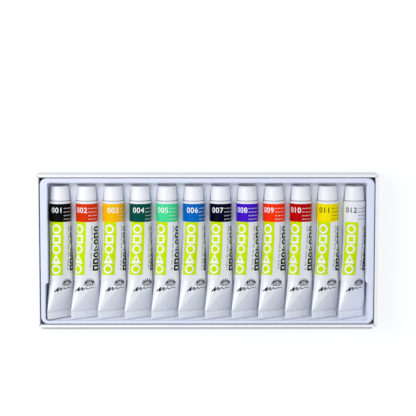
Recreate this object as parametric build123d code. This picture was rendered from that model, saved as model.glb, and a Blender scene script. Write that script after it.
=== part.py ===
from build123d import *

# Twelve collapsible paint tubes, in a thermoformed insert, inside a folded paperboard tray.
# The tray lies on its back with its open face up (+Z). X runs along the row of tubes, +Y points from the
# crimped tails to the caps, and the origin is the centre of the tray's underside. Sizes are millimetres.

import os
from itertools import pairwise
from math import acos, atan2, copysign, cos, degrees, hypot, pi, radians, sin, sqrt, tan

# ---------------------------------------------------------------- tubes
TUBE_COUNT = 12
TUBE_DIAMETER = 16.0
TUBE_WALL = 0.15
TUBE_FOLDS = 36  # narrow flats that make up the round foil
ROUND_LENGTH = 24.0  # from the edge of the shoulder to where the filled body starts to swell sideways
SWELL_LENGTH = 35.6  # from there to where it is drawn out flat
SWELL_SHARE = 0.33  # of the way from round to flat, at the end of the swelling
SWELL_LEFT = 1.5  # the swollen body reaches this far beyond the round one on its left
SWELL_RIGHT = 0.8
SWELL_AT_WALL = 0.05  # and this far where the end wall of the row stands beside it
FLATTEN_LENGTH = 20.8
TAIL_HEIGHT = 5.6  # of the folded strip
FLAP_GAP = 0.06  # between the strip and the flap folded back over it
TAIL_REACH = 7.4  # how far the low edge of a tail lies to the right of its tube's axis
TAIL_CLEARANCE = 0.4  # between neighbouring tails
SHOULDER_RISE = 1.6
SHOULDER_TOP_RADIUS = 4.8
SHOULDER_WALL = 0.5
NECK_RADIUS = 4.3
ORIFICE_RADIUS = 2.4

# ---------------------------------------------------------------- caps
CAP_LENGTH = 10.3
CAP_BASE_RADIUS = 7.25
CAP_TOP_RADIUS = 6.5
CAP_TOP_THICKNESS = 1.4
CAP_EDGE = 0.5  # chamfer round the closed end
CAP_SKIRT = 0.9  # wall of the skirt below the threaded bore
CAP_SKIRT_DEPTH = 2.0
CAP_LIFT = 1.0  # height of the skirt above the edge of the shoulder
NECK_CLEARANCE = 0.2  # between the neck and the inside of the cap

# ---------------------------------------------------------------- paint
PAINT_GAP = 0.1  # between the paint and the tube's wall
PAINT_HEADROOM = 1.0  # left free under the shoulder
PAINT_SHORT = 3.0  # left free next to the folded tail

# ---------------------------------------------------------------- thermoformed insert
INSERT_SHEET = 0.5
INSERT_CORNER = 5.5
INSERT_DRAFT = 0.5  # degrees, outer skirt
INSERT_EDGE_ROUND = 1.1
OPENING_EDGE_ROUND = 0.7
POCKET_CLEARANCE = 0.35  # between a pocket and its tube or cap
RIB_WIDTH = 2.9  # between two pockets, at the height of the tubes' axes
RIB_DROP = 2.0  # top of the ribs, below the tubes' axes
LAND_RISE = 3.3  # top of the insert's rim, above the top of the tubes
SIDE_LAND = 5.55  # rim beyond the outermost pockets
CAP_LAND = 5.5  # rim beyond the ends of the pockets
TAIL_LAND = 2.8  # rim beyond the tail bay
CAP_END_CLEARANCE = 1.3
TAIL_WALL_CLEARANCE = 0.5  # from the tails to the walls of their bay
RECESS_DRAFT = 9.0  # degrees, end wall above the ribs
RECESS_CORNER = 1.5
BAY_SIDE = 1.5  # the tail bay reaches this far beyond the outermost pockets
BAY_DRAFT = 1.5  # degrees
BAY_CORNER = 2.0

# ---------------------------------------------------------------- paperboard tray
BOARD = 0.5
WALL_GAP = 0.8  # air between the outer and the rolled-over inner leaf of a wall
INSERT_CLEARANCE = 0.5  # to the inner leaf, all round
INSERT_BELOW_RIM = 1.2
FOLD_RADIUS = 0.4
CORNER_SLIT = 0.4  # open mitre where two rolled-over walls meet
CORNER_SLIT_DEPTH = 5.0
GLUE_TAB = 14.0  # length of the corner tab inside a long wall

# ---------------------------------------------------------------- sizes that follow
TUBE_RADIUS = TUBE_DIAMETER / 2
POCKET_RADIUS = TUBE_RADIUS + POCKET_CLEARANCE
TUBE_PITCH = 2 * POCKET_RADIUS + RIB_WIDTH
ROW_HALF = (TUBE_COUNT - 1) / 2 * TUBE_PITCH

TAIL_PLY = 2 * TUBE_WALL  # the two walls of the tube pressed together
TAIL_THICKNESS = 2 * TAIL_PLY + FLAP_GAP
TAIL_WIDTH = pi * (TUBE_RADIUS - TUBE_WALL)

FOIL_LENGTH = ROUND_LENGTH + SWELL_LENGTH + FLATTEN_LENGTH + TAIL_HEIGHT
TUBE_LENGTH = CAP_LENGTH + CAP_LIFT + FOIL_LENGTH
INSERT_LENGTH = 2 * (ROW_HALF + POCKET_RADIUS + SIDE_LAND)
INSERT_WIDTH = CAP_LAND + CAP_END_CLEARANCE + TUBE_LENGTH + TAIL_WALL_CLEARANCE + TAIL_LAND
WALL = 2 * BOARD + WALL_GAP
INNER_LENGTH = INSERT_LENGTH + 2 * INSERT_CLEARANCE
INNER_WIDTH = INSERT_WIDTH + 2 * INSERT_CLEARANCE
TRAY_LENGTH = INNER_LENGTH + 2 * WALL
TRAY_WIDTH = INNER_WIDTH + 2 * WALL

POCKET_END = INSERT_WIDTH / 2 - CAP_LAND
CAP_END = POCKET_END - CAP_END_CLEARANCE
CAP_MOUTH = CAP_END - CAP_LENGTH
SHOULDER = CAP_MOUTH - CAP_LIFT
SWELL_START = SHOULDER - ROUND_LENGTH
FLATTEN_START = SWELL_START - SWELL_LENGTH
TAIL_START = FLATTEN_START - FLATTEN_LENGTH
TAIL_END = TAIL_START - TAIL_HEIGHT
NECK_ROOT = SHOULDER + SHOULDER_RISE
NECK_TIP = CAP_END - CAP_TOP_THICKNESS - NECK_CLEARANCE
BAY_START = FLATTEN_START + POCKET_CLEARANCE
BAY_END = TAIL_END - TAIL_WALL_CLEARANCE
BAY_HALF = ROW_HALF + POCKET_RADIUS + BAY_SIDE
BAY_FLOOR = BOARD + INSERT_SHEET


def tail_tilt(room):
    """Degrees by which a tail leans, left edge up, to stay inside a room of this width along X."""
    return degrees(atan2(TAIL_THICKNESS, TAIL_WIDTH) + acos(room / hypot(TAIL_WIDTH, TAIL_THICKNESS)))


def tail_drop(tilt):
    """Height of a tail's centre above its lowest corner."""
    return TAIL_WIDTH / 2 * sin(radians(tilt)) + TAIL_PLY / 2 * cos(radians(tilt))


LOWEST_TAIL = tail_drop(tail_tilt(TUBE_PITCH - TAIL_CLEARANCE))
AXIS_HEIGHT = BAY_FLOOR + POCKET_CLEARANCE + max(TUBE_RADIUS, LOWEST_TAIL)
RIB_TOP = AXIS_HEIGHT - RIB_DROP
INSERT_TOP = AXIS_HEIGHT + TUBE_RADIUS + LAND_RISE
TRAY_HEIGHT = INSERT_TOP + INSERT_BELOW_RIM


SWELL_RADIUS = TUBE_RADIUS - SWELL_SHARE * (TUBE_RADIUS - TAIL_PLY / 2)
SWELL_HALF = SWELL_SHARE * (TAIL_WIDTH - TAIL_PLY) / 2  # from the middle of the swollen section to its ends


def tube_x(index):
    return index * TUBE_PITCH - ROW_HALF


def block(x0, x1, y0, y1, z0, z1):
    return Pos((x0 + x1) / 2, (y0 + y1) / 2, (z0 + z1) / 2) * Box(abs(x1 - x0), abs(y1 - y0), abs(z1 - z0))


# ---------------------------------------------------------------- paperboard tray
def paperboard_tray():
    half_x, half_y = TRAY_LENGTH / 2, TRAY_WIDTH / 2
    outside = block(-half_x, half_x, -half_y, half_y, 0, TRAY_HEIGHT)
    outside = fillet(outside.edges(), FOLD_RADIUS)
    inside = block(-INNER_LENGTH / 2, INNER_LENGTH / 2, -INNER_WIDTH / 2, INNER_WIDTH / 2, BOARD, TRAY_HEIGHT)
    tray = outside - inside
    rim = tray.edges().filter_by_position(Axis.Z, TRAY_HEIGHT, TRAY_HEIGHT).filter_by(
        lambda edge: abs(edge.center().X) < half_x - BOARD and abs(edge.center().Y) < half_y - BOARD
    )
    tray = fillet(rim, FOLD_RADIUS)
    return tray - wall_gaps(half_x, half_y) - corner_slits(half_x, half_y)


def wall_gaps(half_x, half_y):
    """The room between the two leaves of each wall; corner tabs fill part of it in the long walls."""
    roof = TRAY_HEIGHT - BOARD
    reach_x = half_x - WALL + WALL_GAP / 2
    reach_y = half_y - WALL + WALL_GAP / 2
    past_tab = half_x - BOARD - GLUE_TAB
    gaps = []
    for side in (-1, 1):
        outer, inner = side * (half_y - BOARD), side * (half_y - BOARD - WALL_GAP)
        tab_face = side * (half_y - 2 * BOARD)
        gaps.append(block(-past_tab, past_tab, outer, inner, BOARD, roof))
        gaps.append(block(-reach_x, reach_x, tab_face, inner, BOARD, roof))
        outer, inner = side * (half_x - BOARD), side * (half_x - BOARD - WALL_GAP)
        gaps.append(block(outer, inner, -reach_y, reach_y, BOARD, roof))
    return gaps


def corner_slits(half_x, half_y):
    slit = Box(2 * WALL, CORNER_SLIT, 2 * CORNER_SLIT_DEPTH)
    corners = [(x, y) for x in (-1, 1) for y in (-1, 1)]
    return [
        Pos(x * (half_x - WALL / 2), y * (half_y - WALL / 2), TRAY_HEIGHT) * Rot(0, 0, 45 * x * y) * slit
        for x, y in corners
    ]


# ---------------------------------------------------------------- thermoformed insert
def pocket(index, spread):
    """The room of one tube: a round trough, narrower along the cap and wider where the tube swells."""
    radius = POCKET_RADIUS + spread
    cap_radius = CAP_TOP_RADIUS + POCKET_CLEARANCE + spread
    start, end = BAY_START - BAY_CORNER, POCKET_END + spread
    trough = turned((0, start), (radius, start), (radius, SHOULDER), (cap_radius, end), (0, end))
    sides = ([], [])
    for share in (0, 0.5, 1):
        y = SWELL_START - share * (SWELL_START - BAY_START)
        for side, reach in zip(sides, reach_below_ribs(index, share)):
            side.append((reach + copysign(POCKET_CLEARANCE + spread, reach), y))
    left, right = [side + [(side[-1][0], start)] for side in sides]
    floor = AXIS_HEIGHT - radius
    plan = Pos(0, 0, floor) * make_face(Polyline(*left, *reversed(right), close=True))
    return Pos(tube_x(index), 0, 0) * (trough + extrude(plan, RIB_TOP - floor))


def recess(spread):
    """The room above the ribs, with a leaning wall beyond the caps."""
    floor = RIB_TOP - spread
    foot = POCKET_END + spread
    head = foot + (TRAY_HEIGHT - floor) * tan(radians(RECESS_DRAFT))
    start = BAY_START - BAY_CORNER
    outline = Polyline((start, floor), (foot, floor), (head, TRAY_HEIGHT), (start, TRAY_HEIGHT), close=True)
    room = extrude(Plane.YZ * make_face(outline), ROW_HALF + POCKET_RADIUS + spread, both=True)
    corners = room.edges().filter_by(lambda edge: abs(edge.tangent_at(0.5).Z) > 0.5).group_by(Axis.Y)[-1]
    return fillet(corners, RECESS_CORNER + spread)


def tail_bay(spread):
    floor = BAY_FLOOR - spread
    plan = Pos(0, (BAY_START + BAY_END) / 2, floor) * RectangleRounded(
        2 * (BAY_HALF + spread), BAY_START - BAY_END + 2 * spread, BAY_CORNER + spread
    )
    return extrude(plan, TRAY_HEIGHT - floor, taper=-BAY_DRAFT)


def formed_block(inset):
    """The solid under the sheet's upper face, or with an inset of one sheet, under its lower face."""
    plan = Pos(0, 0, BOARD) * RectangleRounded(
        INSERT_LENGTH - 2 * inset, INSERT_WIDTH - 2 * inset, INSERT_CORNER - inset
    )
    top = INSERT_TOP - inset
    solid = extrude(plan, top - BOARD, taper=INSERT_DRAFT)
    pockets = [pocket(index, inset) for index in range(TUBE_COUNT)]
    return solid - [recess(inset), tail_bay(inset), *pockets]


def insert_tray():
    """The formed sheet, with rounded edges round its rim and its opening."""
    upper = formed_block(0)
    rim = upper.faces().sort_by(Axis.Z)[-1]
    upper = fillet(rim.outer_wire().edges(), INSERT_EDGE_ROUND)
    rim = upper.faces().sort_by(Axis.Z)[-1]
    upper = fillet(rim.inner_wires()[0].edges(), OPENING_EDGE_ROUND)
    return upper - formed_block(INSERT_SHEET)


# ---------------------------------------------------------------- tubes
def tail_room(index):
    """How far a tail may reach to the left and to the right of its tube's axis."""
    left = TAIL_REACH + TAIL_CLEARANCE - TUBE_PITCH
    if index == 0:
        left = ROW_HALF - BAY_HALF + TAIL_WALL_CLEARANCE
    return left, TAIL_REACH


def swell_room(index):
    """How far the swollen body reaches to the left and to the right of its tube's axis."""
    left = SWELL_AT_WALL if index == 0 else SWELL_LEFT
    right = SWELL_AT_WALL if index == TUBE_COUNT - 1 else SWELL_RIGHT
    return -TUBE_RADIUS - left, TUBE_RADIUS + right


def swollen_middle(index):
    """Middle of the swollen section, which lies on the floor of its pocket, and the line to its low end."""
    left, right = swell_room(index)
    tilt = acos(((right - left) / 2 - SWELL_RADIUS) / SWELL_HALF)
    to_end = Vector(SWELL_HALF * cos(tilt), 0, -SWELL_HALF * sin(tilt))
    height = AXIS_HEIGHT - TUBE_RADIUS + SWELL_RADIUS - to_end.Z
    return Vector((left + right) / 2, FLATTEN_START, height), to_end


def reach_below_ribs(index, share):
    """How far a tube reaches to the left and to the right, below the ribs' top, a share down its swelling."""
    middle, to_end = swollen_middle(index)
    radius = TUBE_RADIUS + (SWELL_RADIUS - TUBE_RADIUS) * share
    reaches = []
    for end, side in ((middle - to_end, -1), (middle + to_end, 1)):
        height = AXIS_HEIGHT + (end.Z - AXIS_HEIGHT) * share
        above = max(height - RIB_TOP, 0)
        reaches.append(end.X * share + side * sqrt(radius**2 - above**2))
    return reaches


def tail_middle(index):
    """Middle of the flat strip, and the line to its low edge."""
    left, right = tail_room(index)
    tilt = tail_tilt(right - left)
    to_edge = Vector(cos(radians(tilt)), 0, -sin(radians(tilt))) * (TAIL_WIDTH / 2)
    height = BAY_FLOOR + POCKET_CLEARANCE + tail_drop(tilt)
    return Vector((left + right) / 2, TAIL_START, height), to_edge


def ring(middle, radius, to_end=Vector(0, 0, 0)):
    """Points round a slot-shaped section: a ring of flats about each end of its middle line."""
    turns = [2 * pi * fold / TUBE_FOLDS for fold in range(TUBE_FOLDS)]
    ends = (middle - to_end, middle + to_end) if to_end.length else (middle,)
    return [end + Vector(radius * cos(turn), 0, radius * sin(turn)) for end in ends for turn in turns]


def on_axis(y):
    return Vector(0, y, AXIS_HEIGHT)


def foil_sections(index, inset):
    """Sections of the foil's outer face, or of a face one inset further in, from the body to the tail."""
    radius = TUBE_RADIUS - inset
    swollen, to_end = swollen_middle(index)
    tail, to_edge = tail_middle(index)
    up = Vector(-to_edge.Z, 0, to_edge.X).normalized() * max(TAIL_PLY / 2 - inset, 0)
    to_edge = to_edge - to_edge.normalized() * inset
    strip = [tail + across + rise for across in (-to_edge, to_edge) for rise in (-up, up)]
    return [ring(on_axis(SWELL_START), radius), ring(swollen, SWELL_RADIUS - inset, to_end), strip]


def drawn_through(sections):
    """A body with straight creases from each section to the next."""
    stretches = [ConvexPolyhedron(start + end) for start, end in pairwise(sections)]
    return stretches[0] + stretches[1:]


def turned(*outline):
    """A solid of revolution about a tube's axis, from (radius, y) points."""
    return Pos(0, 0, AXIS_HEIGHT) * revolve(make_face(Polyline(*outline, close=True)), Axis.Y)


def folded_tail(index):
    """The end of the foil, pressed flat and folded back once over itself."""
    middle, to_edge = tail_middle(index)
    profile_plane = Plane(middle, x_dir=(0, 1, 0), z_dir=to_edge)
    half_ply = TAIL_PLY / 2
    flap_low = half_ply + FLAP_GAP
    flap_high = flap_low + TAIL_PLY
    outline = Polyline(
        (0, -half_ply),
        (-TAIL_HEIGHT, -half_ply),
        (-TAIL_HEIGHT, flap_high),
        (0, flap_high),
        (0, flap_low),
        (TAIL_PLY - TAIL_HEIGHT, flap_low),
        (TAIL_PLY - TAIL_HEIGHT, half_ply),
        (0, half_ply),
        close=True,
    )
    return extrude(profile_plane * make_face(outline), TAIL_WIDTH / 2, both=True)


def tube(index):
    """The foil with its conical shoulder and open neck, and the folded tail."""
    shoulder = [ring(on_axis(NECK_ROOT), SHOULDER_TOP_RADIUS), ring(on_axis(SHOULDER), TUBE_RADIUS)]
    outside = drawn_through(shoulder + foil_sections(index, 0))
    shoulder = [
        ring(on_axis(NECK_ROOT - SHOULDER_WALL), SHOULDER_TOP_RADIUS - TUBE_WALL),
        ring(on_axis(SHOULDER - SHOULDER_WALL), TUBE_RADIUS - TUBE_WALL),
    ]
    inside = drawn_through(shoulder + foil_sections(index, TUBE_WALL))
    root = NECK_ROOT - SHOULDER_WALL
    neck = turned((0, root), (NECK_RADIUS, root), (NECK_RADIUS, NECK_TIP), (0, NECK_TIP))
    orifice = turned((0, root), (ORIFICE_RADIUS, root), (ORIFICE_RADIUS, NECK_TIP), (0, NECK_TIP))
    return Pos(tube_x(index), 0, 0) * (outside - inside + neck - orifice + folded_tail(index))


def paint(index):
    """The paint that fills a tube, from a little below its shoulder to a little short of its tail."""
    inset = TUBE_WALL + PAINT_GAP
    level = SHOULDER - SHOULDER_WALL - PAINT_HEADROOM
    swollen, to_end = swollen_middle(index)
    tail, to_edge = tail_middle(index)
    share = 1 - PAINT_SHORT / FLATTEN_LENGTH
    last = swollen + (tail - swollen) * share
    to_edge = (to_edge - to_edge.normalized() * inset) * share
    sections = [ring(on_axis(level), TUBE_RADIUS - inset), *foil_sections(index, inset)[:2]]
    return Pos(tube_x(index), 0, 0) * drawn_through(sections + [[last - to_edge, last + to_edge]])


def cap(index):
    """A tapered screw cap, hollow, with a wider skirt that goes over the shoulder of the tube."""
    outside = ConvexPolyhedron(
        ring(on_axis(CAP_MOUTH), CAP_BASE_RADIUS)
        + ring(on_axis(CAP_END - CAP_EDGE), CAP_TOP_RADIUS)
        + ring(on_axis(CAP_END), CAP_TOP_RADIUS - CAP_EDGE)
    )
    bore = NECK_RADIUS + NECK_CLEARANCE
    skirt_inside = CAP_BASE_RADIUS - CAP_SKIRT
    hollow = turned(
        (0, CAP_MOUTH),
        (skirt_inside, CAP_MOUTH),
        (skirt_inside, CAP_MOUTH + CAP_SKIRT_DEPTH),
        (bore, CAP_MOUTH + CAP_SKIRT_DEPTH),
        (bore, CAP_END - CAP_TOP_THICKNESS),
        (0, CAP_END - CAP_TOP_THICKNESS),
    )
    return Pos(tube_x(index), 0, 0) * (outside - hollow)


def parts():
    pieces = {"paperboard_tray": paperboard_tray(), "insert_tray": insert_tray()}
    for index in range(TUBE_COUNT):
        pieces[f"tube_{index + 1:02d}"] = tube(index)
        pieces[f"paint_{index + 1:02d}"] = paint(index)
        pieces[f"cap_{index + 1:02d}"] = cap(index)
    return pieces


os.makedirs("parts", exist_ok=True)
for name, shape in parts().items():
    export_step(shape, f"parts/{name}.step")
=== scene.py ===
"""The looks of a boxed set of gouache tubes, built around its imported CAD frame. Lengths are metres."""

from math import acos, asin, atan2, cos, degrees, hypot, pi, radians, sin

import bmesh
import bpy
from mathutils import Matrix, Vector, noise


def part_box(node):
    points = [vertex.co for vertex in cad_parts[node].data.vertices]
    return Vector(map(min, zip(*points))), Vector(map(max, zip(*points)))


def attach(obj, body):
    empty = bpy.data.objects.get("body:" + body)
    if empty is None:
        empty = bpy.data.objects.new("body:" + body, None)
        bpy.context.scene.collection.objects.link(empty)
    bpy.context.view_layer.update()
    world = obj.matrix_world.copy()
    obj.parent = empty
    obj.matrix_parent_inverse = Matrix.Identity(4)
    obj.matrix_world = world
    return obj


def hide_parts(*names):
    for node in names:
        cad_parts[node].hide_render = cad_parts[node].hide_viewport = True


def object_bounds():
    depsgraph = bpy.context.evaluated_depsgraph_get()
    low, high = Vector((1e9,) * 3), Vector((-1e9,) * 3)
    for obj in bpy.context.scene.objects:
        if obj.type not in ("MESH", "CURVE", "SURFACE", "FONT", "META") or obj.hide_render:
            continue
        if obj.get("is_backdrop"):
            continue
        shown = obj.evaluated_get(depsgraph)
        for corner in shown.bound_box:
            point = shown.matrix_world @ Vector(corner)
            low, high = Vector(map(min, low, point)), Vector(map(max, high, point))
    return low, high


MM = 0.001
TUBES = 12
TRAY, INSERT = "paperboard_tray", "insert_tray"

# ---------------------------------------------------------------- camera, lights and floor of the picture
CAMERA_AT = (-0.00405, 0.162, 1.1705)
CAMERA_PITCH = radians(-6.46)
CAMERA_YAW = radians(-0.23)
CAMERA_LENS, CAMERA_SENSOR = 138.0, 36.0  # millimetres
KEY_AT, KEY_SIZE, KEY_POWER = (-0.54, 0.2, 0.66), (0.5, 0.5), 3.15  # metres and watts
SKY, SKY_STRENGTH = (0.93, 0.95, 1.0), 0.76
FLOOR_REACH = 4.0
PAPER = (0.6, 0.6, 0.605)  # as it throws light back on the object
PAPER_SEEN = (0.29, 0.29, 0.3)  # as it takes the shadows in the picture
GLOW, GLOW_STRENGTH = (0.99, 0.995, 1.0), 0.75  # of the paper where the camera or a reflection sees it, held back near the tray as a painted shadow
NEAR_SHADE = 3.9 * MM  # how far the darkest painted shadow reaches from the near wall
SHADE_SHORT = 2.0 * MM  # how far it stays inside the other walls
SHADE_FADE = 2.2 * MM

# ---------------------------------------------------------------- tube, as in the CAD
WALL = 0.15 * MM
TUBE_RADIUS = 8.0 * MM
CAP_LIFT = 1.0 * MM  # from the edge of the shoulder to the foot of the cap
SHOULDER_RISE = 1.6 * MM
SHOULDER_ROUND = 0.35 * MM
ROUND_LENGTH = 24.0 * MM
SWELL_LENGTH = 35.6 * MM
SWELL_SHARE = 0.33  # of the way from round to flat, at the end of the swelling
SWELL_LEFT, SWELL_RIGHT, SWELL_AT_WALL = 1.5 * MM, 0.8 * MM, 0.05 * MM
FLATTEN_LENGTH = 20.8 * MM
TAIL_HEIGHT = 5.6 * MM
NECK_RADIUS = 4.3 * MM
NECK_LIP = 0.2 * MM
ORIFICE_RADIUS = 2.4 * MM
NECK_SHORT_OF_CAP = 1.6 * MM
PLY = 2 * WALL
FLAP_GAP = 0.06 * MM
FLAP_SHORT = 0.3 * MM  # how far the folded flap ends before the crease
PAINT_SHORT = 0.15  # share of the flattening next to the tail that holds no paint

# ---------------------------------------------------------------- foil, as it is drawn over the CAD tube
COLUMN = radians(3)  # width of one column of faces
FIRST_ROW, PRINTED_ROW, FLATTENED_ROW = 0.2 * MM, 2.2 * MM, 0.8 * MM  # length of one row of faces
SKIN = 0.02 * MM  # how far it stays inside the CAD tube
SOFT_CREASE = 2.0 * MM  # how far it rounds off the CAD's creases
BOW = 1.6 * MM  # how far its flattened middle stands over the CAD's flat strip
BOW_START = 0.15  # flatness at which it begins to bow
BOW_LEAN = 0.65  # share by which it stands higher towards its low edge
ROLLED = 9  # how flat it stays between its rolled edges
DENTS, DRAWN_DENTS, FINE_DENTS = 0.02 * MM, 0.1 * MM, 0.03 * MM  # the last two where it is being flattened
RIDGES, RIDGE_COLUMNS = 17, 10  # crimped across a tail, and faces across each
RIDGE_HEIGHT = 0.15 * MM
TAIL_WAVE = 0.12 * MM
TAIL_PRESSED = 0.9  # of the CAD's thickness
TAIL_NARROWED = 0.012  # share of the width that the folded end loses

# ---------------------------------------------------------------- cap, as in the CAD
CAP_TOP_RADIUS = 6.5 * MM
CAP_TOP_THICKNESS = 1.4 * MM
CAP_EDGE = 0.5 * MM
CAP_FOOT = 0.25 * MM
CAP_BORE = 4.5 * MM
CAP_SKIRT = 0.9 * MM
CAP_SKIRT_DEPTH = 2.0 * MM
CAP_SIDES = 96
CAP_LINE_DEPTH = 0.9 * MM  # the fine line lies this far under the top
CAP_LINE_CUT = 0.08 * MM
CAP_DISH = 0.1 * MM  # how far the middle of the top is sunk

# ---------------------------------------------------------------- ink
BAND_TOP, BAND_BOTTOM, PANEL_BOTTOM = 34.4 * MM, 21.1 * MM, -18.2 * MM
PANEL_COLUMNS = 26
INK_LIFT = 0.03 * MM
INK_THICKNESS = 0.03 * MM
INK_STEP = 0.7 * MM  # longest stretch of a flat piece of ink round the tube
BAND_FACES, PANEL_FACES = 1, 2  # materials of a tube's foil after the foil's own
BAND_INK, WHITE_INK, BLACK_INK, GREY_INK = range(4)  # materials of its print
LABEL_TURNS = (23.5, -0.5, 19, 24.8, 5, 25.2, 12.5, 6, 2, 3.4, 12, 18.8)  # degrees, each panel's right edge

# ---------------------------------------------------------------- print in millimetres
# x goes round the tube from the right edge of its panel, and y is the frame's own.
NUMERAL_SIZE, NUMERAL_BOLDER = 5.5, 0.07
NUMERAL_AT = (1.6, 27.9)  # x from the middle of the panel
NUMERAL_SHIFTS = (-1.1, 0.5, 1.2, -0.7, 0, -0.7, -0.3, -1.4, -1.1, -1.2, -0.6, -1.8)  # as loosely as printed
BAND_ROWS, BAND_ROW_AT, BAND_ROW_STEP = 4, (1.4, 31.0), 2.62
BAND_ROW_WIDTH, BAND_LETTER, BAND_STROKE = 8.0, 0.9, 0.14
FINE_X, FINE_START, FINE_LENGTH, FINE_LETTER, FINE_STROKE = 4.5, -17.6, 32.4, 1.6, 0.36
LETTER_PITCH = 2.7  # from stroke to stroke of the small print, in strokes
MOTIF_SIZES = {"ring": (6.8, 6.8, 1.15), "frame": (6.2, 6.2, 1.25), "triangle": (7.2, 6.8, 1.2)}  # and stroke
PANEL_MOTIFS = {15.9: "ring", 8.4: "frame", 1.1: "ring", -6.4: "triangle", -13.7: "ring"}  # by y
DARK_MOTIFS = ("ring", "frame", "ring", "triangle", "ring", "frame", "frame")
DARK_AT, DARK_STEP, DARK_SIZE = (8.8, 15.7), 4.82, (5.4, 4.3, 1.35)
FAN_AT = (4.1, -23.9)
FLOURISH_AT, FLOURISH_WIDTH, FLOURISH_WEIGHT = (2.2, -28.8), 13.8, 0.7

# ---------------------------------------------------------------- colours, all linear
BOARD = (0.92, 0.92, 0.935)
SHEET, SHEET_DEEP_PAINTED_LIGHT = (0.75, 0.79, 0.94), (0.835, 0.88, 1.0)
PALING_FROM, PALEST_BELOW = 20 * MM, 8 * MM  # heights in the insert between which the sheet turns paler downwards, as painted light in the pockets
LACQUER, FOIL_WITH_PAINTED_LIGHT = (0.8, 0.82, 0.85), (0.86, 0.885, 0.925)
FOIL_TONE_START, FOIL_TONE_FULL = -14 * MM, -44 * MM  # the colour turns from lacquer to paler, bluish foil between them: bare foil at the tail, and partly painted reflection and light on the flattening body
FOIL_METAL = 0.15
FOLD_AT, CREASE_WIDTH, CREASE_SHADE = -44.9 * MM, 0.9 * MM, 0.88  # a thin painted shade line across the foil where the tail begins
CAP_WHITE = (0.86, 0.865, 0.885)
LIME = (0.58, 0.76, 0.001)
PRINT_WHITE, PRINT_BLACK, PRINT_GREY = (0.88, 0.88, 0.89), (0.012, 0.012, 0.014), (0.05, 0.052, 0.055)
COLOURS = {  # name: colour of the printed band and the paint, and whether the numerals are dark
    "black": ((0.003, 0.003, 0.003), False),
    "burnt_orange": ((0.68, 0.033, 0.001), False),
    "ochre": ((0.9, 0.47, 0.001), False),
    "dark_green": ((0.001, 0.07, 0.057), False),
    "emerald": ((0.06, 0.7, 0.28), False),
    "blue": ((0.001, 0.13, 0.5), False),
    "indigo": ((0.001, 0.0015, 0.016), False),
    "violet": ((0.06, 0.007, 0.53), False),
    "vermilion": ((0.95, 0.032, 0.001), False),
    "crimson": ((0.47, 0.001, 0.001), False),
    "yellow": ((0.9, 0.74, 0.001), True),
    "white": ((0.79, 0.8, 0.85), True),
}


# ---------------------------------------------------------------- materials
def material(name):
    made = bpy.data.materials.new(name)
    made.use_nodes = True
    nodes = made.node_tree.nodes
    return made, nodes, made.node_tree.links, nodes["Principled BSDF"]


def set_sockets(node, values):
    for socket, value in values.items():
        node.inputs[socket].default_value = value


def add_node(nodes, kind, values=None, **settings):
    """A shader node with its settings and the values on its sockets."""
    node = nodes.new(kind)
    for name, value in settings.items():
        setattr(node, name, value)
    set_sockets(node, values or {})
    return node


def smooth_range(nodes, values):
    """A map range that starts and ends softly."""
    return add_node(nodes, "ShaderNodeMapRange", values, interpolation_type="SMOOTHSTEP")


def object_noise(nodes, links, scale, detail=2.0, stretch=(1, 1, 1)):
    """A noise texture in the object's own coordinates, scale per metre."""
    coords = add_node(nodes, "ShaderNodeTexCoord")
    mapping = add_node(nodes, "ShaderNodeMapping", {"Scale": stretch})
    texture = add_node(nodes, "ShaderNodeTexNoise", {"Scale": scale, "Detail": detail})
    links.new(coords.outputs["Object"], mapping.inputs["Vector"])
    links.new(mapping.outputs["Vector"], texture.inputs["Vector"])
    return texture


def mottled(nodes, links, shader, texture, colour, depth):
    """Base colour that varies by a share around a colour, with the texture."""
    ramp = add_node(nodes, "ShaderNodeValToRGB")
    ends = zip(ramp.color_ramp.elements, (0.3, 0.7), (1 - depth, 1 + depth))
    for element, position, share in ends:
        element.position = position
        element.color = (*[min(c * share, 0.98) for c in colour], 1)
    links.new(texture.outputs["Fac"], ramp.inputs["Fac"])
    links.new(ramp.outputs["Color"], shader.inputs["Base Color"])
    return ramp


def bump(nodes, links, shader, texture, strength, distance):
    node = add_node(nodes, "ShaderNodeBump", {"Strength": strength, "Distance": distance})
    links.new(texture.outputs["Fac"], node.inputs["Height"])
    links.new(node.outputs["Normal"], shader.inputs["Normal"])


def foil_bump(nodes, links, shader):
    """The shallow unevenness that bare foil has, and that shows through lacquer and ink."""
    bump(nodes, links, shader, object_noise(nodes, links, 180, 2, (1, 0.4, 1)), 0.3, 0.12 * MM)


def paperboard():
    made, nodes, links, shader = material("paperboard_white")
    fibres = object_noise(nodes, links, 900, 6, (1, 3, 1))
    mottled(nodes, links, shader, object_noise(nodes, links, 60, 3), BOARD, 0.015)
    bump(nodes, links, shader, fibres, 0.25, 0.05 * MM)
    set_sockets(shader, {"Roughness": 0.62})
    return made


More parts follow.
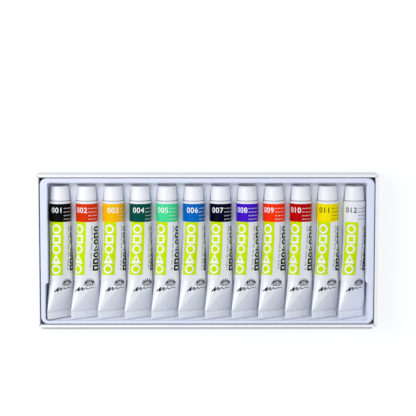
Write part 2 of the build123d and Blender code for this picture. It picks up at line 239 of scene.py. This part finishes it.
def formed_sheet():
    """Lavender plastic, paler lower down in the pockets: painted light that stands in for light through the
    thin sheet and lifts the shade there.
    """
    made, nodes, links, shader = material("formed_plastic")
    ramp = mottled(nodes, links, shader, object_noise(nodes, links, 45, 2), SHEET, 0.02)
    # Painted light: the colour turns paler lower down, lifting the shade in the pockets.
    coords = add_node(nodes, "ShaderNodeTexCoord")
    split = add_node(nodes, "ShaderNodeSeparateXYZ")
    depth = add_node(nodes, "ShaderNodeMapRange", {"From Min": PALING_FROM, "From Max": PALEST_BELOW})
    mix = add_node(nodes, "ShaderNodeMix", {"B": (*SHEET_DEEP_PAINTED_LIGHT, 1)}, data_type="RGBA")
    links.new(coords.outputs["Object"], split.inputs["Vector"])
    links.new(split.outputs["Z"], depth.inputs["Value"])
    links.new(depth.outputs["Result"], mix.inputs["Factor"])
    links.new(ramp.outputs["Color"], mix.inputs["A"])
    links.new(mix.outputs["Result"], shader.inputs["Base Color"])
    bump(nodes, links, shader, object_noise(nodes, links, 240, 3), 0.12, 0.08 * MM)
    set_sockets(shader, {"Roughness": 0.36, "Subsurface Weight": 0.5})
    set_sockets(shader, {"Subsurface Radius": (5 * MM, 5 * MM, 6 * MM)})
    return made


def lacquered_foil():
    """White lacquer on the round body that gives way to duller, paler, bluish foil towards the folded tail:
    bare foil there, and partly painted reflection and light where the body flattens and tilts, with a thin
    painted shade line at the fold.
    """
    made, nodes, links, shader = material("lacquered_foil")
    coords = add_node(nodes, "ShaderNodeTexCoord")
    split = add_node(nodes, "ShaderNodeSeparateXYZ")
    # Partly painted reflection and light: the colour turns paler and bluer along the flattening, beside the
    # bare foil of the tail.
    along = smooth_range(nodes, {"From Min": FOIL_TONE_START, "From Max": FOIL_TONE_FULL})
    mix = add_node(nodes, "ShaderNodeMix", {"A": (*LACQUER, 1), "B": (*FOIL_WITH_PAINTED_LIGHT, 1)}, data_type="RGBA")
    metal = add_node(nodes, "ShaderNodeMath", {1: FOIL_METAL}, operation="MULTIPLY")
    rough = add_node(nodes, "ShaderNodeMapRange", {"To Min": 0.2, "To Max": 0.48})
    # Painted shade: a thin darker line across the fold where the tail begins.
    past_fold = add_node(nodes, "ShaderNodeMath", {1: FOLD_AT}, operation="SUBTRACT")
    from_fold = add_node(nodes, "ShaderNodeMath", operation="ABSOLUTE")
    crease = smooth_range(nodes, {"From Max": CREASE_WIDTH, "To Min": CREASE_SHADE})
    painted_crease_shade = add_node(nodes, "ShaderNodeVectorMath", operation="SCALE")
    links.new(coords.outputs["Object"], split.inputs["Vector"])
    links.new(split.outputs["Y"], along.inputs["Value"])
    links.new(split.outputs["Y"], past_fold.inputs[0])
    links.new(past_fold.outputs["Value"], from_fold.inputs[0])
    links.new(from_fold.outputs["Value"], crease.inputs["Value"])
    links.new(along.outputs["Result"], mix.inputs["Factor"])
    links.new(mix.outputs["Result"], painted_crease_shade.inputs["Vector"])
    links.new(crease.outputs["Result"], painted_crease_shade.inputs["Scale"])
    links.new(painted_crease_shade.outputs["Vector"], shader.inputs["Base Color"])
    links.new(along.outputs["Result"], metal.inputs[0])
    links.new(metal.outputs["Value"], shader.inputs["Metallic"])
    links.new(along.outputs["Result"], rough.inputs["Value"])
    links.new(rough.outputs["Result"], shader.inputs["Roughness"])
    foil_bump(nodes, links, shader)
    return made


def ink(name, colour):
    made, nodes, links, shader = material(name)
    mottled(nodes, links, shader, object_noise(nodes, links, 400, 2), colour, 0.05)
    foil_bump(nodes, links, shader)
    set_sockets(shader, {"Roughness": 0.28, "Specular IOR Level": 0.03})
    return made


def cap_plastic():
    made, nodes, links, shader = material("cap_plastic")
    mottled(nodes, links, shader, object_noise(nodes, links, 300, 3), CAP_WHITE, 0.015)
    bump(nodes, links, shader, object_noise(nodes, links, 2500, 2), 0.15, 0.02 * MM)
    set_sockets(shader, {"Roughness": 0.42, "Subsurface Weight": 0.15})
    set_sockets(shader, {"Subsurface Radius": (2 * MM, 2 * MM, 2 * MM)})
    return made


def paste(name, colour):
    made, nodes, links, shader = material(name)
    mottled(nodes, links, shader, object_noise(nodes, links, 350, 4), colour, 0.12)
    bump(nodes, links, shader, object_noise(nodes, links, 500, 4), 0.5, 0.2 * MM)
    set_sockets(shader, {"Roughness": 0.3})
    return made


def glow_with_painted_shadow(nodes, links):
    """The paper's white glow for the camera, held back under the tray and in a thin line along its near wall
    as a painted shadow.
    """
    low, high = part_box(TRAY)
    shade_low = Vector((low.x + SHADE_SHORT, low.y - NEAR_SHADE, 0))
    shade_high = Vector((high.x - SHADE_SHORT, high.y - SHADE_SHORT, 0))
    place = add_node(nodes, "ShaderNodeNewGeometry").outputs["Position"]
    for operation, value in (
        ("SUBTRACT", (shade_low + shade_high) / 2),
        ("ABSOLUTE", (0, 0, 0)),
        ("SUBTRACT", (shade_high - shade_low) / 2),
        ("MAXIMUM", (0, 0, 0)),
    ):
        step = add_node(nodes, "ShaderNodeVectorMath", {1: value}, operation=operation)
        links.new(place, step.inputs[0])
        place = step.outputs["Vector"]
    away = add_node(nodes, "ShaderNodeVectorMath", operation="LENGTH")
    # Painted shadow: the glow fades in near the tray and is darkest along its near wall.
    fade = smooth_range(nodes, {"From Max": SHADE_FADE, "To Max": GLOW_STRENGTH})
    glow = add_node(nodes, "ShaderNodeEmission", {"Color": (*GLOW, 1)})
    links.new(place, away.inputs[0])
    links.new(away.outputs["Value"], fade.inputs["Value"])
    links.new(fade.outputs["Result"], glow.inputs["Strength"])
    return glow


def studio_paper():
    """Paper that glows white where the camera or a reflection sees it, and is plain pale paper otherwise."""
    made, nodes, links, shader = material("studio_paper")
    set_sockets(shader, {"Base Color": (*PAPER, 1), "Roughness": 0.9})
    seen_paper = add_node(nodes, "ShaderNodeBsdfDiffuse", {"Color": (*PAPER_SEEN, 1)})
    lit = add_node(nodes, "ShaderNodeAddShader")
    path = add_node(nodes, "ShaderNodeLightPath")
    mix = add_node(nodes, "ShaderNodeMixShader")
    seen = path.outputs["Is Camera Ray"]
    for ray in ("Is Glossy Ray", "Is Transmission Ray"):
        either = add_node(nodes, "ShaderNodeMath", operation="MAXIMUM")
        links.new(seen, either.inputs[0])
        links.new(path.outputs[ray], either.inputs[1])
        seen = either.outputs["Value"]
    links.new(seen_paper.outputs["BSDF"], lit.inputs[0])
    links.new(glow_with_painted_shadow(nodes, links).outputs["Emission"], lit.inputs[1])
    links.new(seen, mix.inputs["Fac"])
    links.new(shader.outputs["BSDF"], mix.inputs[1])
    links.new(lit.outputs["Shader"], mix.inputs[2])
    links.new(mix.outputs["Shader"], nodes["Material Output"].inputs["Surface"])
    return made


# ---------------------------------------------------------------- meshes
def add_object(name, mesh, body):
    placed = bpy.data.objects.new(name, mesh)
    bpy.context.scene.collection.objects.link(placed)
    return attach(placed, body)


def finish_mesh(mesh, sharp_angle, weld=0.0):
    """Points the faces outwards, and shades them smoothly apart from edges sharper than an angle."""
    form = bmesh.new()
    form.from_mesh(mesh)
    if weld:
        bmesh.ops.remove_doubles(form, verts=form.verts, dist=weld)
    bmesh.ops.recalc_face_normals(form, faces=form.faces)
    form.to_mesh(mesh)
    form.free()
    mesh.shade_smooth()
    mesh.set_sharp_from_angle(angle=sharp_angle)
    return mesh


def smooth_copy(node, body, name, shown, sharp_angle):
    """A CAD node's own shape with its faces joined and shaded smoothly up to an angle."""
    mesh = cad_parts[node].data.copy()
    mesh.name = name
    for face in mesh.polygons:
        face.material_index = 0
    mesh.materials.clear()
    mesh.materials.append(shown)
    finish_mesh(mesh, sharp_angle, weld=0.002 * MM)
    copy = add_object(name, mesh, body)
    weighted = copy.modifiers.new("shading", "WEIGHTED_NORMAL")
    weighted.keep_sharp = True
    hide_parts(node)


def grid_faces(rows, columns, closed_rows=False, closed_columns=True):
    """Quads between vertices that stand in rows, row after row."""
    last_row = rows if closed_rows else rows - 1
    last_column = columns if closed_columns else columns - 1
    for row in range(last_row):
        here, below = row * columns, (row + 1) % rows * columns
        for column in range(last_column):
            after = (column + 1) % columns
            yield (here + column, here + after, below + after, below + column)


def arc(centre, radius, start, end, steps):
    """Points of an arc in the plane of a profile, between two angles in degrees."""
    angles = [radians(start + (end - start) * step / steps) for step in range(steps + 1)]
    return [(centre[0] + radius * cos(angle), centre[1] + radius * sin(angle)) for angle in angles]


def stations(*stops, step):
    """Values from stop to stop, evenly spaced between them and about a step apart."""
    values = [stops[0]]
    for start, end in zip(stops, stops[1:]):
        count = max(1, round(abs(end - start) / step))
        values += [start + (end - start) * part / count for part in range(1, count + 1)]
    return values


# ---------------------------------------------------------------- one tube's shape
def point_round(share, radius, middle, low_end, swell, tail):
    """A point and its normal, a share of the way round a section of the foil, in the plane of X and Z.

    The section is a disc moved along two lines, swell and tail, so it has two pairs of flat sides. The way
    round starts at the low end of the line of the tail, and first goes up.
    """
    start = atan2(low_end.y, low_end.x)
    over_tail = start + pi / 2
    over_swell = over_tail - (low_end.angle_signed(swell) if swell.length > 0 else 0.0)
    corner = middle + swell + tail
    stretches = [
        (corner, start, over_tail, -2 * tail),
        (corner - 2 * tail, over_tail, over_swell, -2 * swell),
        (corner - 2 * tail - 2 * swell, over_swell, over_tail + pi, 2 * tail),
        (corner - 2 * swell, over_tail + pi, over_swell + pi, 2 * swell),
        (corner, over_swell + pi, start + 2 * pi, Vector((0.0, 0.0))),
    ]
    along = share * (2 * pi * radius + 4 * swell.length + 4 * tail.length)
    for spot, first, last, side in stretches:
        bend = (last - first) * radius
        if along <= bend:
            angle = first + along / radius
            normal = Vector((cos(angle), sin(angle)))
            return spot + radius * normal, normal
        along -= bend
        normal = Vector((cos(last), sin(last)))
        if along <= side.length:
            return spot + radius * normal + side * (along / side.length), normal
        along -= side.length
    return spot + radius * normal, normal


def softened(distance):
    """Zero before a crease and the distance after it, with a rounded turn."""
    return (distance + hypot(distance, SOFT_CREASE)) / 2


class Tube:
    """The measures of one tube, read from the boxes of its CAD nodes. Sections are in X and Z."""

    def __init__(self, number):
        self.number = number
        self.name = f"tube_{number:02d}"
        self.body = f"tube_{number:02d}_body"
        self.cap_low, self.cap_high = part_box(f"cap_{number:02d}")
        low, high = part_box(self.name)
        self.axis = (self.cap_low + self.cap_high) / 2
        self.middle = Vector((self.axis.x, self.axis.z))
        self.shoulder = self.cap_low.y - CAP_LIFT
        self.swell_start = self.shoulder - ROUND_LENGTH
        self.flatten_start = self.swell_start - SWELL_LENGTH
        self.tail_start = self.flatten_start - FLATTEN_LENGTH
        self.tail_end = low.y
        self.turn = radians(LABEL_TURNS[number - 1])
        self.set_tail(low, high)
        self.set_swell()

    def set_tail(self, low, high):
        """The lean and the middle of the flat strip, from the corners of the box it fills."""
        self.tail_width = pi * (TUBE_RADIUS - WALL)
        thickness = 2 * PLY + FLAP_GAP
        diagonal = hypot(self.tail_width, thickness)
        self.tilt = asin((high.z - low.z) / diagonal) - atan2(thickness, self.tail_width)
        self.across = Vector((cos(self.tilt), -sin(self.tilt)))
        self.above = Vector((sin(self.tilt), cos(self.tilt)))
        half = self.tail_width / 2
        low_x = low.x + half * cos(self.tilt) + PLY / 2 * sin(self.tilt)
        low_z = low.z + half * sin(self.tilt) + PLY / 2 * cos(self.tilt)
        self.tail_middle = Vector((low_x, low_z))

    def set_swell(self):
        """The section where the body starts to flatten: it lies on the floor of its pocket."""
        left = SWELL_AT_WALL if self.number == 1 else SWELL_LEFT
        right = SWELL_AT_WALL if self.number == TUBES else SWELL_RIGHT
        self.swell_radius = TUBE_RADIUS - SWELL_SHARE * (TUBE_RADIUS - PLY / 2)
        half = SWELL_SHARE * (self.tail_width - PLY) / 2
        tilt = acos((TUBE_RADIUS + (left + right) / 2 - self.swell_radius) / half)
        self.swell = Vector((half * cos(tilt), -half * sin(tilt)))
        rise = self.swell_radius - self.swell.y - TUBE_RADIUS
        self.swell_middle = self.middle + Vector(((right - left) / 2, rise))

    def flatness(self, y):
        """From 0 on the round body to 1 at the tail."""
        swelling = SWELL_SHARE / SWELL_LENGTH
        flattening = (1 - SWELL_SHARE) / FLATTEN_LENGTH
        grown = swelling * softened(self.swell_start - y)
        grown += (flattening - swelling) * softened(self.flatten_start - y)
        return min(grown, 1)

    def surface(self, phi, y, lift=0.0):
        """The foil's surface at an angle from the round body's top towards +X, followed on to the tail."""
        flat = self.flatness(y)
        still_swell = flat < SWELL_SHARE
        share = flat / SWELL_SHARE if still_swell else (flat - SWELL_SHARE) / (1 - SWELL_SHARE)
        if still_swell:
            middle = self.middle.lerp(self.swell_middle, share)
            radius = TUBE_RADIUS + share * (self.swell_radius - TUBE_RADIUS)
            swell, tail = self.swell * share, Vector((0.0, 0.0))
        else:
            middle = self.swell_middle.lerp(self.tail_middle, share)
            radius = self.swell_radius + share * (PLY / 2 - self.swell_radius)
            swell = self.swell * (1 - share)
            tail = self.across * (share * (self.tail_width - PLY) / 2)
        around = ((pi / 2 + self.tilt - phi) / (2 * pi)) % 1
        radius = max(radius - SKIN, PLY / 2)
        point, normal = point_round(around, radius, middle, self.across, swell, tail)
        point = point + normal * (lift + self.dent(phi, y, flat))
        half = max(radius + swell.length + tail.length, TUBE_RADIUS)
        point = point + self.above * self.bow((point - middle).dot(self.across) / half, flat, normal)
        return Vector((point.x, y, point.y))

    def bow(self, across, flat, normal=None):
        """How far the foil stands up between its rolled edges, at -1 and 1.

        Under the paint, where the normal points down, it stays straight until the paint ends.
        """
        grown = max(flat - BOW_START, 0) / (1 - BOW_START)
        grown = grown * grown * (3 - 2 * grown)
        if normal is not None and flat < 1:
            below = max(flat - (1 - PAINT_SHORT), 0) / PAINT_SHORT
            on_top = 0.5 + 0.8 * normal.dot(self.above)
            grown = below + (grown - below) * min(max(on_top, 0), 1)
        across = min(max(across, -1), 1)
        return BOW * grown * (1 + BOW_LEAN * across) * (1 - abs(across) ** ROLLED)

    def on_tail(self, u, v, y):
        """A point from how far it is across the tail, towards its low edge, and how far above its plane."""
        v += self.bow(2 * u / self.tail_width, 1)
        point = self.tail_middle + self.across * u + self.above * v
        return Vector((point.x, y, point.y))

    def dent(self, phi, y, flat):
        """How far the soft foil stands off its ideal shape, most where it was flattened."""
        own = Vector((self.number * 7.3, 0, 0))
        broad = noise.noise(own + Vector((1.3 * sin(phi), y * 50, 1.3 * cos(phi))))
        fine = noise.noise(own + Vector((3.5 * sin(phi), y * 150, 3.5 * cos(phi))))
        drawn = 4 * flat * (1 - flat)
        return (DENTS + DRAWN_DENTS * drawn) * broad + FINE_DENTS * drawn * fine


def turned_rows(tube, profile, turns):
    """Rows of points for a profile of radius and y, turned about the tube's axis."""
    points = []
    for radius, y in profile:
        points += [(tube.axis.x + radius * sin(turn), y, tube.axis.z + radius * cos(turn)) for turn in turns]
    return points


def foil_mesh(tube):
    """Neck, shoulder and body of a tube, with the printed band and panel as faces of their own."""
    columns = round(2 * pi / COLUMN)
    slope = pi / 2 - atan2(SHOULDER_RISE, TUBE_RADIUS - NECK_RADIUS)
    edge_centre = (TUBE_RADIUS - SKIN - SHOULDER_ROUND, tube.shoulder - SHOULDER_ROUND * 0.75)
    neck_tip = tube.cap_high.y - NECK_SHORT_OF_CAP
    profile = [
        (0.0, tube.shoulder),
        (ORIFICE_RADIUS, tube.shoulder),
        (ORIFICE_RADIUS, neck_tip),
        (NECK_RADIUS - NECK_LIP, neck_tip),
        (NECK_RADIUS, neck_tip - NECK_LIP),
        (NECK_RADIUS, tube.shoulder + SHOULDER_RISE),
    ]
    profile += arc(edge_centre, SHOULDER_ROUND, degrees(slope), 0, 4)
    body_top = edge_centre[1] - FIRST_ROW
    body_rows = stations(body_top, BAND_TOP, BAND_BOTTOM, PANEL_BOTTOM, step=PRINTED_ROW)
    body_rows += stations(PANEL_BOTTOM, tube.tail_start, step=FLATTENED_ROW)[1:]
    turns = [tube.turn + COLUMN * column for column in range(columns)]
    verts = turned_rows(tube, profile, turns)
    for y in body_rows:
        verts += [tube.surface(turn, y) for turn in turns]
    rows = len(profile) + len(body_rows)
    faces = list(grid_faces(rows, columns))
    faces.append(tuple(range((rows - 1) * columns, rows * columns)))
    mesh = bpy.data.meshes.new(tube.name + "_foil")
    mesh.from_pydata(verts, [], faces)
    for index in range(len(profile) * columns, (rows - 1) * columns):
        row, column = divmod(index - len(profile) * columns, columns)
        middle = (body_rows[row] + body_rows[row + 1]) / 2
        if BAND_BOTTOM < middle < BAND_TOP:
            mesh.polygons[index].material_index = BAND_FACES
        elif PANEL_BOTTOM < middle < BAND_BOTTOM and column >= columns - PANEL_COLUMNS:
            mesh.polygons[index].material_index = PANEL_FACES
    return finish_mesh(mesh, radians(40), weld=0.001 * MM)


def tail_mesh(tube):
    """The end of the foil folded back over itself, with the ridges that the crimping tool leaves."""
    columns = RIDGE_COLUMNS * RIDGES + 1
    fold = PLY + FLAP_GAP / 2
    middle = PLY / 2 + FLAP_GAP / 2
    bend = tube.tail_end + fold
    flap_end = tube.tail_start - FLAP_SHORT
    profile = [(y, -PLY / 2) for y in stations(tube.tail_start, bend, step=1 * MM)]
    profile += arc((bend, middle), fold, 260, 100, 8)
    profile += [(y, middle + fold) for y in stations(bend, flap_end, step=1 * MM)]
    profile += [(flap_end, PLY / 2 + FLAP_GAP), (bend, PLY / 2 + FLAP_GAP), (bend, PLY / 2)]
    profile.append((tube.tail_start, PLY / 2))
    verts = []
    for y, v in profile:
        down = max(tube.tail_start - y, 0) / TAIL_HEIGHT
        pressed = min(1, 5 * down, 8 * (1 - min(down, 1)) + 0.2)
        for column in range(columns):
            across = column / (columns - 1)
            u = (across - 0.5) * tube.tail_width
            ridge = RIDGE_HEIGHT * cos(2 * pi * RIDGES * across) * pressed
            wave = TAIL_WAVE * noise.noise(Vector((u * 160, tube.number * 3.1, y * 60))) * down
            narrowed = 1 - TAIL_NARROWED * down * abs(2 * across - 1) ** 5
            verts.append(tube.on_tail(u * narrowed, v * TAIL_PRESSED + ridge + wave, y))
    rows = len(profile)
    faces = list(grid_faces(rows, columns, closed_rows=True, closed_columns=False))
    faces += [tuple(row * columns + side for row in range(rows)) for side in (0, columns - 1)]
    mesh = bpy.data.meshes.new(tube.name + "_tail")
    mesh.from_pydata(verts, [], faces)
    return finish_mesh(mesh, radians(50))


def cap_mesh(tube):
    """A turned screw cap: tapered side, rounded edges, a fine line under the top, skirt and bore."""
    low, high = tube.cap_low.y, tube.cap_high.y
    base = (tube.cap_high.x - tube.cap_low.x) / 2
    taper = (base - CAP_TOP_RADIUS) / (high - low)
    line = high - CAP_LINE_DEPTH

    def side(y):
        return base - taper * (y - low)

    profile = [
        (0.0, high - CAP_TOP_THICKNESS),
        (CAP_BORE, high - CAP_TOP_THICKNESS),
        (CAP_BORE, low + CAP_SKIRT_DEPTH),
        (base - CAP_SKIRT, low + CAP_SKIRT_DEPTH),
        (base - CAP_SKIRT, low + CAP_FOOT),
        (base - CAP_SKIRT + CAP_FOOT, low),
    ]
    profile += arc((base - CAP_FOOT, low + CAP_FOOT), CAP_FOOT, -90, 0, 4)
    profile += [(side(y), y) for y in stations(low + 2 * CAP_FOOT, line - 0.12 * MM, step=1.5 * MM)]
    profile += [(side(line) - CAP_LINE_CUT, line), (side(line) - CAP_LINE_CUT, line + 0.05 * MM)]
    profile += [(side(line) - 0.3 * CAP_LINE_CUT, line + 0.15 * MM)]
    profile += arc((CAP_TOP_RADIUS - CAP_EDGE, high - CAP_EDGE), CAP_EDGE, 0, 90, 8)
    profile += [(CAP_TOP_RADIUS * 0.7, high - 0.2 * CAP_DISH), (0.0, high - CAP_DISH)]
    turns = [2 * pi * step / CAP_SIDES for step in range(CAP_SIDES)]
    mesh = bpy.data.meshes.new(f"cap_{tube.number:02d}_shape")
    mesh.from_pydata(turned_rows(tube, profile, turns), [], list(grid_faces(len(profile), CAP_SIDES)))
    return finish_mesh(mesh, radians(38), weld=0.001 * MM)


# ---------------------------------------------------------------- print
def bar(x, y, width, height):
    """A filled rectangle about its middle."""
    sides = [(-1, -1), (1, -1), (1, 1), (-1, 1)]
    return [(x + right * width / 2, y + up * height / 2) for right, up in sides]


def outline_curve(outlines):
    curve = bpy.data.curves.new("ink", "CURVE")
    curve.dimensions = "2D"
    curve.fill_mode = "BOTH"
    curve.extrude = 1
    for outline in outlines:
        spline = curve.splines.new("POLY")
        spline.points.add(len(outline) - 1)
        for point, (x, y) in zip(spline.points, outline):
            point.co = (x, y, 0, 1)
        spline.use_cyclic_u = True
    return curve


def pen_curve(lines):
    """Strokes through points (x, y, width), which may cross."""
    curve = bpy.data.curves.new("ink", "CURVE")
    curve.dimensions = "3D"
    curve.bevel_depth = 0.5
    curve.bevel_resolution = 0
    for line in lines:
        spline = curve.splines.new("POLY")
        spline.points.add(len(line) - 1)
        for point, (x, y, width) in zip(spline.points, line):
            point.co = (x, y, 0, 1)
            point.radius = width
    return curve


def numeral_curve(text):
    curve = bpy.data.curves.new("ink", "FONT")
    curve.body = text
    curve.size = NUMERAL_SIZE
    curve.align_x = "CENTER"
    curve.space_character = 1.1
    curve.bevel_depth = NUMERAL_BOLDER
    curve.bevel_resolution = 0
    curve.extrude = 1
    return curve


def wrapped(form, tube, curve, material_index, offset=(0, 0)):
    """Adds a curve to a mesh, pressed flat as a thin layer of ink round the tube."""
    flat = bpy.data.objects.new("ink", curve)
    bpy.context.scene.collection.objects.link(flat)
    shape = bpy.data.meshes.new_from_object(flat.evaluated_get(bpy.context.evaluated_depsgraph_get()))
    bpy.data.objects.remove(flat)
    bpy.data.curves.remove(curve)
    piece = bmesh.new()
    piece.from_mesh(shape)
    bmesh.ops.remove_doubles(piece, verts=piece.verts, dist=0.002)
    low = min(vert.co.x for vert in piece.verts)
    high = max(vert.co.x for vert in piece.verts)
    pressed = INK_THICKNESS / 2 / max(vert.co.z for vert in piece.verts)
    for cut in stations(low, high, step=INK_STEP / MM)[1:-1]:
        geometry = piece.verts[:] + piece.edges[:] + piece.faces[:]
        bmesh.ops.bisect_plane(piece, geom=geometry, plane_co=(cut, 0, 0), plane_no=(1, 0, 0))
    for vert in piece.verts:
        x, y, z = vert.co
        phi = tube.turn + (x + offset[0]) * MM / TUBE_RADIUS
        vert.co = tube.surface(phi, (y + offset[1]) * MM, lift=INK_LIFT + z * pressed)
    for face in piece.faces:
        face.material_index = material_index
    bmesh.ops.recalc_face_normals(piece, faces=piece.faces)
    piece.to_mesh(shape)
    piece.free()
    form.from_mesh(shape)
    bpy.data.meshes.remove(shape)


def small_print(start, width, letter, stroke, seed):
    """Strokes in words along a line, where small print stands: (place, width, height) of each."""
    at = start
    word = 0
    while at < start + width:
        letters = 4 + round(3 * (0.5 + 0.5 * sin(seed * 3.7 + word * 2.9)))
        for place in range(letters):
            if at < start + width:
                yield at, stroke, letter * (1.0 if (place + seed) % 3 == 0 else 0.7)
            at += LETTER_PITCH * stroke
        at += LETTER_PITCH * stroke
        word += 1


def flourish(x, y, width, weight):
    """A pen stroke that starts with tall, heavy waves and runs out in a long light one."""
    steps, waves, tallest, lightest, rise = 72, 4.4, 1.45, 0.12, 0.9
    line = []
    for step in range(steps + 1):
        share = step / steps
        height = tallest * max(1 - 1.25 * share, 0) ** 1.2 + lightest
        wave = height * sin(2 * pi * waves * share**0.75 - 1.3)
        across = x + (share - 0.5) * width + 0.75 * wave
        line.append((across, y + wave + rise * share, weight * (1.15 - 0.6 * share)))
    return line


def fan_petals(x, y):
    """Pen strokes that fan out over a cup, thick near their middle."""
    widths = (0, 0.4), (0.45, 1.05), (1, 0.15)  # at shares of the way up
    petals = []
    for place in range(-3, 4):
        lean = 0.4 * place
        foot = Vector((x + 0.75 * place, y - 0.1 * abs(place)))
        reach = (3.2 - 0.13 * place * place) * Vector((sin(lean), cos(lean)))
        petals.append([(*(foot + share * reach), width) for share, width in widths])
    return petals


def fan_cup(x, y):
    """Rows of short strokes under the petals."""
    bars = []
    for row, half in enumerate((3, 3, 2)):
        for place in range(-half, half + 1):
            bars.append(bar(x + 1.24 * place, y - 0.7 - 0.84 * row, 1.0, 0.54))
    return bars


def motif(kind, width, height, stroke):
    """Outline of a plain shape about its middle, and the hole in it."""
    halves = (width / 2, height / 2), (width / 2 - stroke, height / 2 - stroke)
    if kind == "ring":
        turns = [radians(9 * step) for step in range(40)]
        corners = [(cos(turn), sin(turn)) for turn in turns]
    elif kind == "frame":
        corners = [(-1, -1), (1, -1), (1, 1), (-1, 1)]
    else:
        corners = [(-1, -0.9), (1, -0.9), (0, 1.1)]
        halves = (width / 2, height / 2), (0.42 * width / 2, 0.42 * height / 2)
    return [[(x * wide, y * tall) for x, y in corners] for wide, tall in halves]


def shifted(outlines, x, y):
    return [[(at + x, up + y) for at, up in outline] for outline in outlines]


def label_mesh(tube):
    """Everything printed on one tube apart from the colour band and the panel."""
    form = bmesh.new()
    panel_middle = -PANEL_COLUMNS * COLUMN * TUBE_RADIUS / MM / 2
    shift = NUMERAL_SHIFTS[tube.number - 1]
    numeral_at = (panel_middle + NUMERAL_AT[0] + shift, NUMERAL_AT[1])
    wrapped(form, tube, numeral_curve(f"{tube.number:03d}"), BAND_INK, numeral_at)
    rows = []
    for row in range(BAND_ROWS):
        start, y = BAND_ROW_AT[0] + shift, BAND_ROW_AT[1] - BAND_ROW_STEP * row
        strokes = small_print(start, BAND_ROW_WIDTH, BAND_LETTER, BAND_STROKE, 5 * tube.number + row)
        rows += [bar(at, y, wide, tall) for at, wide, tall in strokes]
    wrapped(form, tube, outline_curve(rows), BAND_INK)
    for y, kind in PANEL_MOTIFS.items():
        wrapped(form, tube, outline_curve(motif(kind, *MOTIF_SIZES[kind])), WHITE_INK, (panel_middle, y))
    dark = []
    for place, kind in enumerate(DARK_MOTIFS):
        dark += shifted(motif(kind, *DARK_SIZE), DARK_AT[0], DARK_AT[1] - DARK_STEP * place)
    wrapped(form, tube, outline_curve(dark), BLACK_INK)
    fine = small_print(FINE_START, FINE_LENGTH, FINE_LETTER, FINE_STROKE, tube.number)
    wrapped(form, tube, outline_curve([bar(FINE_X, -at, tall, wide) for at, wide, tall in fine]), GREY_INK)
    wrapped(form, tube, pen_curve(fan_petals(*FAN_AT)), BLACK_INK)
    wrapped(form, tube, outline_curve(fan_cup(*FAN_AT)), GREY_INK)
    wrapped(form, tube, pen_curve([flourish(*FLOURISH_AT, FLOURISH_WIDTH, FLOURISH_WEIGHT)]), BLACK_INK)
    mesh = bpy.data.meshes.new(f"label_{tube.number:02d}")
    form.to_mesh(mesh)
    form.free()
    return mesh


# ---------------------------------------------------------------- build
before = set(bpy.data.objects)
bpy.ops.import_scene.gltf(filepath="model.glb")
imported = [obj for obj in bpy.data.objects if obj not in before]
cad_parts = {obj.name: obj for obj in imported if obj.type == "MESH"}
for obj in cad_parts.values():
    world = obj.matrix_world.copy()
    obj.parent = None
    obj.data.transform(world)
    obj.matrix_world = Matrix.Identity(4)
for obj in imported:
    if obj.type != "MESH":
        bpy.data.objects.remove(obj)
cad_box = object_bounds()

board = paperboard()
sheet = formed_sheet()
foil = lacquered_foil()
plastic = cap_plastic()
lime = ink("ink_lime", LIME)
white_ink = ink("ink_white", PRINT_WHITE)
black_ink = ink("ink_black", PRINT_BLACK)
grey_ink = ink("ink_grey", PRINT_GREY)

smooth_copy(TRAY, "tray", "tray_board", board, radians(30))
smooth_copy(INSERT, "insert", "insert_form", sheet, radians(40))

for number, (colour_name, (colour, dark_numerals)) in enumerate(COLOURS.items(), start=1):
    tube = Tube(number)
    band = ink("ink_" + colour_name + "_band", colour)
    shape = foil_mesh(tube)
    for made in (foil, band, lime):
        shape.materials.append(made)
    drawn = add_object(f"tube_foil_{number:02d}", shape, tube.body)
    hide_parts(tube.name)
    tail = tail_mesh(tube)
    tail.materials.append(foil)
    add_object(f"tube_tail_{number:02d}", tail, tube.body)
    label = label_mesh(tube)
    for made in (black_ink if dark_numerals else white_ink, white_ink, black_ink, grey_ink):
        label.materials.append(made)
    add_object(f"tube_print_{number:02d}", label, tube.body)
    cap = cap_mesh(tube)
    cap.materials.append(plastic)
    turned_cap = add_object(f"cap_form_{number:02d}", cap, f"cap_{number:02d}_body")
    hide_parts(f"cap_{number:02d}")
    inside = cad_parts[f"paint_{number:02d}"]
    filling = paste("paste_" + colour_name, colour)
    for socket in inside.material_slots:
        socket.material = filling

# ---------------------------------------------------------------- floor, world, lights, camera
floor_mesh = bpy.data.meshes.new("floor")
reach = FLOOR_REACH
corners = [(-reach, -reach, 0), (reach, -reach, 0), (reach, reach, 0), (-reach, reach, 0)]
floor_mesh.from_pydata(corners, [], [(0, 1, 2, 3)])
floor = bpy.data.objects.new("floor", floor_mesh)
bpy.context.scene.collection.objects.link(floor)
floor_mesh.materials.append(studio_paper())
floor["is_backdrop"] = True

world = bpy.data.worlds.new("studio")
bpy.context.scene.world = world
world.use_nodes = True
set_sockets(world.node_tree.nodes["Background"], {"Color": (*SKY, 1), "Strength": SKY_STRENGTH})

lamp = bpy.data.lights.new("key", "AREA")
lamp.shape = "RECTANGLE"
lamp.size, lamp.size_y = KEY_SIZE
lamp.energy = KEY_POWER
key = bpy.data.objects.new("key", lamp)
key.location = KEY_AT
key.rotation_euler = (-Vector(KEY_AT)).to_track_quat("-Z", "Y").to_euler()
bpy.context.scene.collection.objects.link(key)

lens = bpy.data.cameras.new("camera")
lens.lens = CAMERA_LENS
lens.sensor_width = CAMERA_SENSOR
lens.clip_start = 0.01
camera = bpy.data.objects.new("camera", lens)
turned = Matrix.Rotation(CAMERA_YAW, 4, "Y") @ Matrix.Rotation(CAMERA_PITCH, 4, "X")
camera.matrix_world = Matrix.Translation(CAMERA_AT) @ turned
bpy.context.scene.collection.objects.link(camera)
bpy.context.scene.camera = camera
bpy.context.scene.view_settings.view_transform = "Standard"

boxes = {"cad": cad_box, "visual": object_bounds()}
{name: [[float(value) for value in corner] for corner in box] for name, box in boxes.items()}
